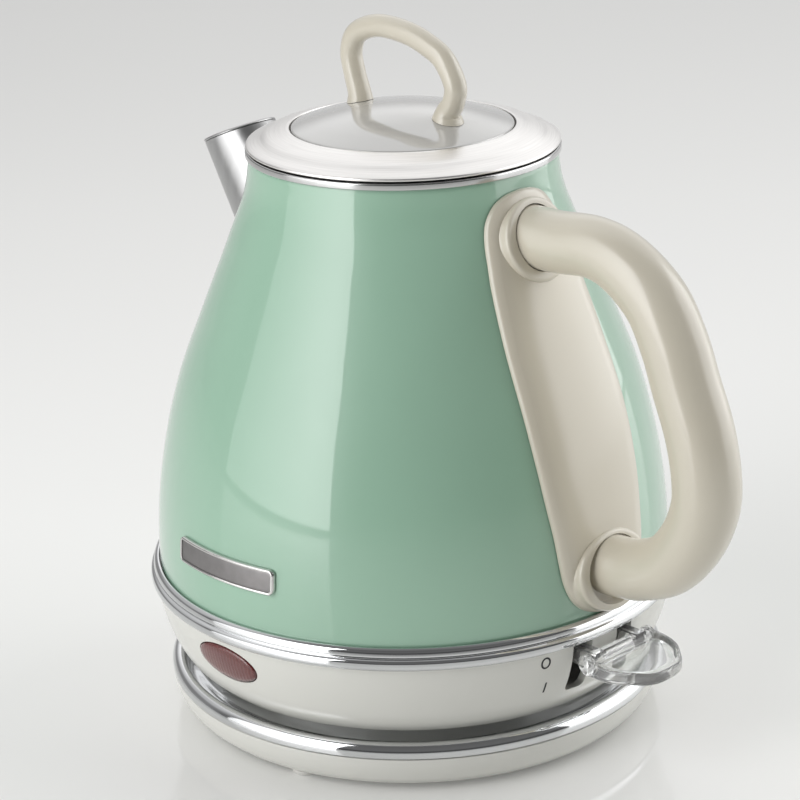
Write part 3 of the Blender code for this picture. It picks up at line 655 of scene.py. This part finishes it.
def make_inlet():
    """The socket under the kettle, which turns on the tower."""
    socket = lathe(
        "inlet_moulding",
        [
            (23.8, 26.8, 0.4), (23.8, 21.0), (30.0, 21.0, 0.4), (30.0, 19.3, 0.4), (23.8, 19.3),
            (23.8, 17.6, 0.4), (21.4, 17.6, 0.5), (21.4, 24.6), (2.1, 24.6), (2.1, 26.8),
        ],
        BLACK,
        96,
    )
    finished(socket, "inlet_socket", "black_plastic", "kettle_inlet")
    profile = [(0, 27.6), (1.7, 27.6), (1.7, 14.8, 0.5), (1.1, 14.2, 0.3), (0, 14.2)]
    pin = lathe("earth_pin", profile, BRASS, FINE)
    finished(pin, "inlet_socket", "brass", "inlet_earth_pin")
    sleeve("inlet_contact", 9.4, 8.6, 16.0, 24.3, "inlet_socket", "inlet_contact_ring")


# -------- body, spout and strainer

def body_solid(name, clear=GAP):
    """The space that the painted body and a margin round it take, carried on above and below."""
    heights = np.linspace(164.4, 41.5, 60)
    outside = [(body_radius(z) + clear, z) for z in heights]
    top, bottom = 172.0, 30.0
    return lathe(name, [(0, top), (outside[0][0], top)] + outside + [(outside[-1][0], bottom), (0, bottom)])


def make_body():
    heights = np.linspace(163.7, 41.5, 90)
    outer = [(body_radius(164.4) - 0.5, 164.4)] + [(body_radius(z), z) for z in heights]
    inner = [(body_radius(z) - WALL, z) for z in np.linspace(41.5, 164.4, 60)]
    shell = lathe("painted_body", outer + inner, GREEN, VERY_ROUND)
    shell.data.materials.append(SHEET)
    for face in shell.data.polygons:
        out = Vector((face.center.x, face.center.y, 0))
        within = out.length / MM < body_radius(face.center.z / MM) - WALL / 2
        if within and face.normal.dot(out) < 0:
            face.material_index = 1
    combine(shell, spout_port())
    finished(shell, "kettle", "green_enamel", "body_shell")
    rim = lathe(
        "bright_mouth_rim",
        [
            (44.0, 165.6, 0.6), (44.0, 163.7, 0.3), (43.4, 163.7), (43.4, 164.7), (39.2, 164.7),
            (39.2, 160.5, 0.2), (38.4, 160.5, 0.2), (38.4, 165.6, 0.6),
        ],
        POLISHED,
    )
    finished(rim, "kettle", "brushed_steel", "mouth_rim")
    trim = lathe(
        "bright_trim_ring",
        [
            (74.9, 46.1, 0.3), (75.8, 45.4, 0.8), (76.1, 43.9, 0.5), (75.7, 43.3, 0.2), (76.8, 42.7, 0.7),
            (77.0, 40.9, 0.7), (76.3, 39.9, 0.6), (74.5, 39.9), (74.5, 46.1),
        ],
        CHROME,
        VERY_ROUND,
    )
    finished(trim, "kettle", "chrome", "trim_ring")
    make_spout()
    make_strainer()


SPOUT_MOUTH = Vector((-69.3, 0, 158.5))
SPOUT_RADIUS = 10.66
SPOUT_LEAN = math.radians(40.3)
SPOUT_TAPER = math.tan(math.radians(7))
SPOUT_LENGTH = 56.0
SPOUT_AXIS = Vector((-math.sin(SPOUT_LEAN), 0, math.cos(SPOUT_LEAN)))


def spout_port():
    """The cutter for the port behind the spout: the spout's cone, less its wall and a little more."""
    root = SPOUT_MOUTH - SPOUT_LENGTH * SPOUT_AXIS
    root_radius = SPOUT_RADIUS + SPOUT_LENGTH * SPOUT_TAPER
    less = WALL + GAP
    return bar("spout_port", root, SPOUT_MOUTH, root_radius - less, SPOUT_RADIUS - less)


def make_spout():
    """A steel cone with a rolled lip at its slanting mouth, trimmed to the body."""
    mouth_lean = math.radians(23.6)
    level = Vector((-math.sin(mouth_lean), 0, math.cos(mouth_lean)))
    side = Vector((0, 1, 0))
    front = side.cross(SPOUT_AXIS)
    lip = WALL / 2
    turns = [math.tau * step / 96 for step in range(96)]

    def ring(offset, back):
        """A ring at an offset from the outer cone, a distance back from the mouth."""
        points = []
        for angle in turns:
            out = front * math.cos(angle) + side * math.sin(angle)
            tilt = out.dot(level)
            along = -(SPOUT_RADIUS + offset) * tilt / (SPOUT_AXIS.dot(level) - SPOUT_TAPER * tilt) - back
            radius = SPOUT_RADIUS + offset - along * SPOUT_TAPER
            points.append(SPOUT_MOUTH + SPOUT_AXIS * along + out * radius)
        return points

    backs = [float(back) for back in np.linspace(1.0, SPOUT_LENGTH - 12, 24)]
    rows = [ring(0, back) for back in reversed(backs)]
    bead = lip + 0.12
    for turn in np.linspace(-0.5, 1.5, 13) * math.pi:
        rows.append(ring(-lip + bead * math.cos(turn), lip - lip * math.sin(turn)))
    rows += [ring(-WALL, back) for back in backs]
    points = [point for row in rows for point in row]
    spout = new_object("steel_spout", points, grid_faces(len(rows), len(turns), True, True), SPOUT_STEEL)
    combine(spout, body_solid("spout_trim"))
    finished(spout, "kettle", "brushed_steel", "spout")


def make_strainer():
    """A moulded frame clipped inside the body behind the spout, with a woven steel screen."""
    heights = np.linspace(153.0, 119.0, 16)
    middle = (0, 135.5)
    rim = layer(body_radius, heights, -WALL - 2.6, -WALL - 0.6)
    holder = lathe("strainer_frame", rim, WHITE)
    outline = rounded_rectangle(32.0, 30.0, 6.0, middle)
    window = rounded_rectangle(26.0, 24.0, 4.0, middle)
    combine(holder, prism("strainer_outline", outline, -90, -10, "X"), "INTERSECT")
    combine(holder, prism("strainer_window", window, -90, -10, "X"))
    finished(holder, "spout_filter", "white_plastic", "spout_filter_frame")

    points, faces = [], []
    half_width, half_height, depth, thick, pitch = 12.6, 11.6, -WALL - 1.6, 0.16, 0.9

    def wire(along):
        """One wire through (across, height) places on the wall's inside."""
        first = len(points)
        for a, b in along:
            radius = body_radius(b) + depth
            x = -math.sqrt(radius * radius - a * a)
            across, up = (0, thick) if along[0][1] == along[-1][1] else (thick, 0)
            points.extend([(x + thick, a, b), (x, a + across, b + up)])
            points.extend([(x - thick, a, b), (x, a - across, b - up)])
        count = len(along)
        faces.extend([[first + i for i in face] for face in grid_faces(count, 4, wrap_columns=True)])
        faces.extend([[first, first + 1, first + 2, first + 3], [len(points) - i for i in (1, 2, 3, 4)]])

    for across in np.arange(-half_width, half_width + 0.1, pitch):
        wire([(across, middle[1] + up) for up in np.linspace(-half_height, half_height, 14)])
    for up in np.arange(-half_height, half_height + 0.1, pitch):
        wire([(across, middle[1] + up) for across in np.linspace(-half_width, half_width, 14)])
    screen = new_object("strainer_screen", points, faces, SHEET)
    finished(screen, "spout_filter", "plain_steel", "spout_filter_screen")


# -------- handle and badge

GRIP_TOP, GRIP_BOTTOM = 147.8, 60.2
GRIP_ROUTE = [  # out from the axis, height, radius
    (42.0, GRIP_TOP, 8.4), (57.0, GRIP_TOP, 8.4), (70.6, 148.7, 8.3), (81.2, 145.8, 8.5), (91.6, 138.1, 8.8),
    (97.7, 127.9, 9.0), (101.8, 117.4, 9.1), (106.5, 105.3, 9.2), (108.85, 93.4, 9.2), (108.4, 84.6, 9.1),
    (104.3, 74.9, 8.9), (97.0, 66.3, 8.6), (87.6, 61.7, 8.4), (80.0, 60.3, 8.4), (70.0, GRIP_BOTTOM, 8.4),
]


def make_handle():
    """A back plate fitted to the body, with a collar round each end of the tubular grip."""
    half = smooth_path(
        [
            (0.0, 46.6), (5.0, 47.2), (9.4, 49.2), (12.9, 52.4), (15.2, 57.2), (16.3, 63.0), (17.2, 72.0),
            (18.3, 83.0), (18.9, 100.0), (18.3, 120.0), (16.9, 135.0), (15.7, 142.6), (14.6, 148.2),
            (12.8, 153.2), (9.3, 157.4), (4.9, 159.4), (0.0, 160.0),
        ],
        8,
    )
    outline = [tuple(point) for point in half] + [(-across, height) for across, height in half[-2:0:-1]]
    section = [
        (0.0, 0.1), (0.0, 0.9), (0.12, 1.35), (0.45, 1.75), (1.0, 2.05), (1.9, 2.4), (2.3, 2.46), (2.8, 2.5),
        (4.0, 2.75),
    ]
    spine = ((0, 64.0), (0, 143.0))
    plate = pillow("handle_plate", outline, spine, section, on_body_side, HANDLE, 240, 8)
    collars = (  # out from the axis and height of the face's middle, lean, half height, width over height
        (51.2, 147.4, 19, 11.6, 1.03),
        (78.0, 59.0, 9, 11.2, 1.22),
    )
    for x, height, lean, radius, widen in collars:
        profile = [
            (0, 0), (radius, 0, 2.2), (radius, -2.8, 0.8), (radius + 0.9, -5.0, 2.0), (radius + 0.9, -12),
            (0, -12),
        ]
        at = placed((x, 0, height), 90 - lean, "Y")
        combine(plate, lathe("collar", profile, steps=96, frame_at=at, widen=widen), "UNION")
    sockets = (
        bar("top_socket", (40, 0, GRIP_TOP), (120, 0, GRIP_TOP), 8.75, sides=96),
        bar("bottom_socket", (66, 0, 59.2), (120, 0, 59.2), 9.5, sides=96, widen=1.12),
    )
    socket_floor = 1.9
    for socket in sockets:
        combine(plate, combine(socket, body_solid("socket_floor", socket_floor)))
    combine(plate, body_solid("plate_back"), smooth_angle=40)
    finished(plate, "kettle", "cream_plastic", "handle_back_plate")
    grip = tube("grip_tube", GRIP_ROUTE, HANDLE, 12, 64)
    combine(grip, body_solid("grip_end", socket_floor + GAP))
    finished(grip, "kettle", "cream_plastic", "handle_grip")


def make_badge():
    """A blank metal badge: a dark field in a raised bright rim."""
    middle = 61.2
    spine = ((-15.4, middle), (15.4, middle))
    outline = rounded_rectangle(38.0, 7.2, 1.6, (0, middle))
    section = [(0.0, 0.35), (0.0, 1.1), (0.08, 1.28), (0.25, 1.4), (0.55, 1.4), (0.72, 1.3), (0.8, 0.9)]
    rim = pillow("badge_frame", outline, spine, section, on_body, BADGE_RIM, 240)
    finished(rim, "kettle", "badge_metal", "badge_plate")
    outline = rounded_rectangle(36.3, 5.5, 0.9, (0, middle))
    section = [(0.0, 0.92), (0.0, 1.02), (0.1, 1.06)]
    field = pillow("badge_inlay", outline, spine, section, on_body, BADGE_FIELD, 240)
    finished(field, "kettle", "badge_metal", "badge_plate")


# -------- lower housing

def make_housing():
    heights = np.linspace(39.6, 19.0, 24)
    inner = [
        (65.2, 17.0, 0.5), (62.5, 17.0), (62.5, 19.0), (65.6, 19.6), (68.6, 23.6), (70.8, 28.4), (72.2, 33.0),
        (73.0, 39.6),
    ]
    outer = [(skirt_radius(z), z) for z in heights] + [(66.0, 17.3, 0.8)]
    skirt = lathe("skirt", outer + inner, CREAM, VERY_ROUND)
    edge = oval(11.5 + GAP, 5.2 + GAP, (0, LENS_HEIGHT))
    combine(skirt, prism("lens_hole", edge, -90, -50, "Y"))
    for across in LEVER_ARMS:
        slot = rounded_rectangle(6.8, 20.0, 1.6, (across, 34.6))
        combine(skirt, prism("lever_slot", slot, 60, 85, "X"))
    finished(skirt, "kettle", "cream_plastic", "lower_housing")
    cover = lathe(
        "housing_underside",
        [
            (62.1, 18.9), (62.1, 17.3, 0.3), (53.0, 17.3, 0.5), (52.0, 11.4, 0.5), (50.0, 11.4, 0.5),
            (49.0, 17.3, 0.5), (24.5, 17.3, 0.4), (24.5, 18.9),
        ],
        CREAM,
    )
    finished(cover, "kettle", "cream_plastic", "kettle_bottom_cover")
    spine = ((-6.3, LENS_HEIGHT), (6.3, LENS_HEIGHT))
    section = [(0.0, -1.8), (0.0, -0.1), (0.12, 0.2), (0.4, 0.42), (0.9, 0.55), (1.8, 0.65)]
    lens = pillow("oval_lens", oval(11.5, 5.2, (0, LENS_HEIGHT)), spine, section, on_skirt, RUBY)
    finished(lens, "kettle", "red_lens", "indicator_lens")


def make_marks():
    """The printed marks for on and off beside the lever."""
    half_stroke = 0.26

    def mark(name, path, closed):
        path = np.array(path)
        along = np.gradient(path, axis=0)
        if closed:
            along = np.roll(path, -1, axis=0) - np.roll(path, 1, axis=0)
        along /= np.linalg.norm(along, axis=1)[:, None]
        side = np.column_stack([-along[:, 1], along[:, 0]]) * half_stroke
        points = []
        for centre, offset in zip(path, side):
            for sign, height in ((-1, 0.02), (-1, 0.05), (1, 0.05), (1, 0.02)):
                points.append(on_skirt_side(*(centre + sign * offset), height))
        faces = grid_faces(len(path), 4, wrap_rows=closed, wrap_columns=True)
        if not closed:
            faces += [(0, 1, 2, 3), tuple(range(len(points) - 4, len(points)))]
        finished(new_object(name, points, faces, INK), "kettle", "black_plastic")

    mark("off_mark", oval(1.2, 1.55, (-21.7, 36.6), 40), True)
    mark("on_mark", [(-20.4, 28.3 + up) for up in np.linspace(-1.7, 1.7, 8)], False)


# -------- inside

def make_vessel():
    floor = lathe(
        "vessel_floor",
        [
            (0, 51.0), (69.5, 51.0, 0.6), (71.2, 49.8, 0.6), (71.2, 44.0), (70.2, 44.0), (70.2, 49.2, 0.3),
            (69.0, 49.8, 0.3), (0, 49.8),
        ],
        SATIN,
    )
    pipe_out = 36.0
    combine(floor, bar("pipe_hole", (pipe_out, 0, 30), (pipe_out, 0, 60), 3.9))
    finished(floor, "kettle", "plain_steel", "heater_plate")
    profile = [(3.5, 150.0, 0.3), (3.5, 38.0), (2.7, 38.0), (2.7, 150.0, 0.3)]
    pipe = lathe("steam_pipe", profile, SHEET, FINE, (pipe_out, 0))
    finished(pipe, "kettle", "plain_steel", "steam_tube")


# -------- switch lever

def make_lever():
    """A clear moulding: a hub on the pin, two arms through the slots and a dished paddle."""
    pin_out, pin_height = LEVER_PIN
    root, tip = 78.6, 97.2
    bottom, top = pin_height + 2.4, pin_height + 7.2
    droop, thinning = 1.9, 1.4

    def place(a, b, height):
        """The paddle slopes down a little towards its tip, and thins from below."""
        share = (a - root) / (tip - root)
        height -= droop * share
        if height < bottom - droop * share + 1.6:
            height += thinning * share
        return a, b, height

    outline = rounded(
        [
            (root, -14.2, 2.4), (85.5, -14.2, 4.0), (89.6, -12.8, 4.0), (tip, -5.8, 4.0), (tip, 5.8, 4.0),
            (89.6, 12.8, 4.0), (85.5, 14.2, 4.0), (root, 14.2, 2.4),
        ]
    )
    section = [
        (1.2, bottom), (0.5, bottom + 0.2), (0.1, bottom + 0.7), (0.0, bottom + 1.4), (0.0, top - 0.6),
        (0.15, top - 0.2), (0.5, top), (1.3, top), (1.7, top - 0.15), (2.2, top - 0.9), (2.8, top - 1.2),
    ]
    lever = pillow("clear_lever", outline, ((86, -1), (86, 1)), section, place, CLEAR, 200)
    roll, ridge = 2.9, 0.25
    edge = (root + 0.2, pin_height + 5.0)
    root_roll = bar("root_roll", (edge[0], -13.2, edge[1]), (edge[0], 13.2, edge[1]), roll)
    combine(lever, root_roll, "UNION")
    profile = [(0, ridge), (roll + ridge, ridge), (roll + ridge, -ridge), (0, -ridge)]
    for across in (-12.6, -11.4, 11.4, 12.6):
        rib = lathe("rib", profile, steps=FINE, frame_at=placed((edge[0], across, edge[1]), 90, "X"))
        combine(lever, rib, "UNION")
    for across in LEVER_ARMS:
        arm = rounded_rectangle(4.4, 5.2, 0.8, (across, pin_height + 5.9))
        combine(lever, prism("arm", arm, pin_out, edge[0] + 2.0, "X"), "UNION")
    hub = bar("hub", (pin_out, -12.2, pin_height), (pin_out, 12.2, pin_height), 4.0)
    combine(lever, hub, "UNION")
    bore = bar("bore", (pin_out, -20, pin_height), (pin_out, 20, pin_height), 1.9)
    combine(lever, bore, smooth_angle=40)
    finished(lever, "switch_lever_body", "clear_plastic", "switch_lever")


# -------- lid

DOME = [(0, 176.6), (5.0, 176.45), (10.0, 176.0), (15.0, 175.25), (20.0, 174.2), (24.0, 173.2), (28.0, 172.0)]
LOOP_ROUTE = [  # out from the axis, height, radius
    (-16.6, 173.4, 4.0), (-16.6, 175.4, 3.7), (-16.9, 177.6, 3.3), (-18.5, 182.6, 3.15), (-19.6, 188.7, 3.15),
    (-16.8, 194.3, 3.2), (-8.5, 197.35, 3.2), (2.5, 196.8, 3.2), (10.7, 194.4, 3.2), (16.6, 191.1, 3.15),
    (20.6, 184.8, 3.15), (19.9, 180.0, 3.15), (18.0, 177.2, 3.4), (17.5, 175.3, 4.2), (17.4, 173.0, 4.9),
]


def make_lid():
    cover = lathe(
        "satin_lid_cover",
        [
            (0, 168.7), (31.5, 168.7), (31.5, 171.0, 0.3), (32.4, 170.95, 0.4), (35.2, 170.2, 1.6),
            (38.3, 169.3, 1.6),
            (40.3, 168.15, 1.6), (42.9, 167.2, 0.8), (43.8, 166.75, 0.3), (43.8, 166.1, 0.2), (40.0, 166.1),
            (38.4, 168.0), (34.8, 169.1), (32.6, 169.8), (32.6, 167.7), (0, 167.7),
        ],
        SATIN,
        VERY_ROUND,
    )
    finished(cover, "lid", "brushed_steel", "lid_cover")
    dome = [(radius, height) for radius, height in smooth_path(DOME + [(30.0, 171.35)], 4)]
    disc = lathe("lid_centre_disc", dome + [(31.1, 170.95, 0.5), (31.1, 169.0), (0, 169.0)], DISC)
    finished(disc, "lid", "cream_plastic", "lid_disc")
    loop = tube("lid_handle", LOOP_ROUTE, HANDLE, 10, 48)
    under = [(radius, height + 0.1) for radius, height in dome]
    combine(loop, lathe("loop_trim", under + [(31.0, 160.0), (0, 160.0)]))
    finished(loop, "lid", "cream_plastic", "lid_loop")
    plug = lathe(
        "plug_wall",
        [
            (0, 156.3), (34.6, 156.3), (34.6, 168.1), (36.8, 168.1), (36.8, 162.2, 0.3), (35.6, 162.2),
            (35.6, 159.2), (36.8, 159.2, 0.3), (36.8, 156.3, 0.7), (35.8, 155.3, 0.7), (0, 155.3),
        ],
        SHEET,
    )
    finished(plug, "lid", "plain_steel", "lid_plug")
    seal = lathe(
        "plug_seal",
        [(37.2, 161.9, 0.3), (38.0, 160.9, 0.6), (37.2, 159.5, 0.3), (35.9, 159.5), (35.9, 161.9)],
        RUBBER,
    )
    finished(seal, "lid", "silicone", "lid_seal")


# -------- pieces kept as they are

KEPT = {
    "heater_seal": RUBBER, "heating_element": SHEET, "control_unit": BLACK, "steam_bimetal": BRASS,
    "switch_bracket": BLACK, "switch_pin": SHEET, "trip_pin": SHEET, "trip_rocker": WHITE,
    "handle_screw_top": SHEET, "handle_screw_bottom": SHEET, "lid_screw_1": SHEET, "lid_screw_2": SHEET,
    "lamp_holder": BLACK, "indicator_lamp": RUBY, "terminal_block": WHITE,
    "base_screw_1": SHEET, "base_screw_2": SHEET, "base_screw_3": SHEET,
}


def finish_kept_pieces():
    for node, look in KEPT.items():
        bpy.data.objects[node].material_slots[0].material = look


# -------- studio

CAMERA_TURN = math.radians(45.4)  # the camera stands this far round from -Y towards +X
CAMERA_RISE = math.radians(19.83)


def from_camera(degrees, rise=0.0):
    """A direction from the kettle, turned to the right of the camera's place as the camera sees it."""
    turn, rise = CAMERA_TURN + math.radians(degrees), math.radians(rise)
    return Vector((math.sin(turn) * math.cos(rise), -math.cos(turn) * math.cos(rise), math.sin(rise)))


def make_camera():
    target = Vector((AXIS.x, AXIS.y, 0.0895))
    distance, lens, roll = 0.7673, 120.15, math.radians(1.54)
    back = from_camera(0, math.degrees(CAMERA_RISE))
    right = Vector((math.cos(CAMERA_TURN), math.sin(CAMERA_TURN), 0))
    up = back.cross(right)
    level_right, level_up = right, up
    right = level_right * math.cos(roll) - level_up * math.sin(roll)
    up = level_right * math.sin(roll) + level_up * math.cos(roll)
    data = bpy.data.cameras.new("camera")
    data.lens = lens
    data.shift_x = -0.0125
    camera = bpy.data.objects.new("camera", data)
    facing = Matrix((right, up, back)).transposed().to_4x4()
    camera.matrix_world = Matrix.Translation(target + back * distance) @ facing
    bpy.context.scene.collection.objects.link(camera)
    bpy.context.scene.camera = camera


def softbox(name, place, aim, width, height, radiance, faded=1.0):
    """A flat light whose glow falls to the faded share at its left edge, seen from the kettle."""
    data = bpy.data.lights.new(name, "AREA")
    data.shape = "RECTANGLE"
    data.size, data.size_y = width, height
    data.energy = radiance * math.pi * width * height
    data.use_nodes = True
    tree = data.node_tree
    across = tree.nodes.new("ShaderNodeSeparateXYZ")
    tree.links.new(tree.nodes.new("ShaderNodeNewGeometry").outputs["Parametric"], across.inputs[0])
    glow = tree.nodes.new("ShaderNodeMapRange")
    glow.interpolation_type = "SMOOTHSTEP"
    glow.inputs["To Min"].default_value = faded
    tree.links.new(across.outputs["X"], glow.inputs["Value"])
    tree.links.new(glow.outputs[0], tree.nodes["Emission"].inputs["Strength"])
    light = bpy.data.objects.new(name, data)
    light.location = place
    light.rotation_euler = (Vector(aim) - Vector(place)).to_track_quat("-Z", "Y").to_euler()
    bpy.context.scene.collection.objects.link(light)


def make_lights():
    left = from_camera(-64) * 1.2
    softbox("left_softbox", (left.x, left.y, 0.82), (0, 0, 0.82), 1.25, 1.6, 4.2, 0.28)
    right = from_camera(98) * 1.3
    softbox("right_softbox", (right.x, right.y, 0.72), (0, 0, 0.72), 1.5, 1.4, 1.9)


def make_world():
    """Pale all round, dim on the camera's side and behind on the left, and dimmer low down."""
    world = bpy.data.worlds.new("studio")
    world.use_nodes = True
    bpy.context.scene.world = world
    tree = world.node_tree
    tree.nodes.clear()
    place = tree.nodes.new("ShaderNodeTexCoord").outputs["Generated"]

    def facing(direction, stops):
        """A grey level from how nearly a ray points in a direction, as (cosine, level) stops."""
        dot = tree.nodes.new("ShaderNodeVectorMath")
        dot.operation = "DOT_PRODUCT"
        tree.links.new(place, dot.inputs[0])
        dot.inputs[1].default_value = direction
        shift = tree.nodes.new("ShaderNodeMapRange")
        shift.inputs["From Min"].default_value = -1.0
        tree.links.new(dot.outputs["Value"], shift.inputs["Value"])
        ramp = tree.nodes.new("ShaderNodeValToRGB")
        ramp.color_ramp.interpolation = "EASE"
        for number, (cosine, level) in enumerate(stops):
            stop = ramp.color_ramp.elements[number] if number < 2 else ramp.color_ramp.elements.new(0.99)
            stop.position = (cosine + 1) / 2
            stop.color = (level, level, level, 1)
        tree.links.new(shift.outputs[0], ramp.inputs[0])
        return ramp.outputs[0]

    def times(first, second):
        product = tree.nodes.new("ShaderNodeVectorMath")
        product.operation = "MULTIPLY"
        tree.links.new(first, product.inputs[0])
        tree.links.new(second, product.inputs[1])
        return product.outputs[0]

    round_about = facing(from_camera(0), ((-1.0, 1.05), (-0.35, 1.05), (0.08, 0.25), (0.4, 0.14)))
    behind_left = facing(from_camera(-118), ((0.50, 1.0), (0.95, 0.45)))
    height = facing((0, 0, 1), ((0.18, 0.58), (0.40, 1.15), (0.85, 0.98)))
    around = tree.nodes.new("ShaderNodeBackground")
    tree.links.new(times(times(round_about, behind_left), height), around.inputs["Color"])
    seen = tree.nodes.new("ShaderNodeBackground")
    seen.inputs["Color"].default_value = (0.74, 0.74, 0.715, 1)
    rays = tree.nodes.new("ShaderNodeLightPath")
    mix = tree.nodes.new("ShaderNodeMixShader")
    tree.links.new(rays.outputs["Is Camera Ray"], mix.inputs[0])
    tree.links.new(around.outputs[0], mix.inputs[1])
    tree.links.new(seen.outputs[0], mix.inputs[2])
    output = tree.nodes.new("ShaderNodeOutputWorld")
    tree.links.new(mix.outputs[0], output.inputs["Surface"])


def make_floor():
    colour = (0.80, 0.80, 0.785)
    glow = {"Emission Color": (1.0, 1.0, 0.985, 1.0), "Emission Strength": 0.08}
    look = Look("studio_floor", colour, 0.08, **glow)
    look.rough(look.noise(3, 3), 0.07, 0.10)
    radius, sides = 6000, 96
    turns = [math.tau * i / sides for i in range(sides)]
    points = [(radius * math.cos(turn), radius * math.sin(turn), 0) for turn in turns]
    floor = new_object("floor", points, [tuple(range(sides))], look.material)
    floor.location.z = -0.0001


bpy.context.scene.view_settings.view_transform = "Standard"
make_camera()
make_world()
make_lights()
make_floor()
make_power_base()
make_inlet()
make_body()
make_handle()
make_badge()
make_housing()
make_marks()
make_vessel()
make_lever()
make_lid()
finish_kept_pieces()
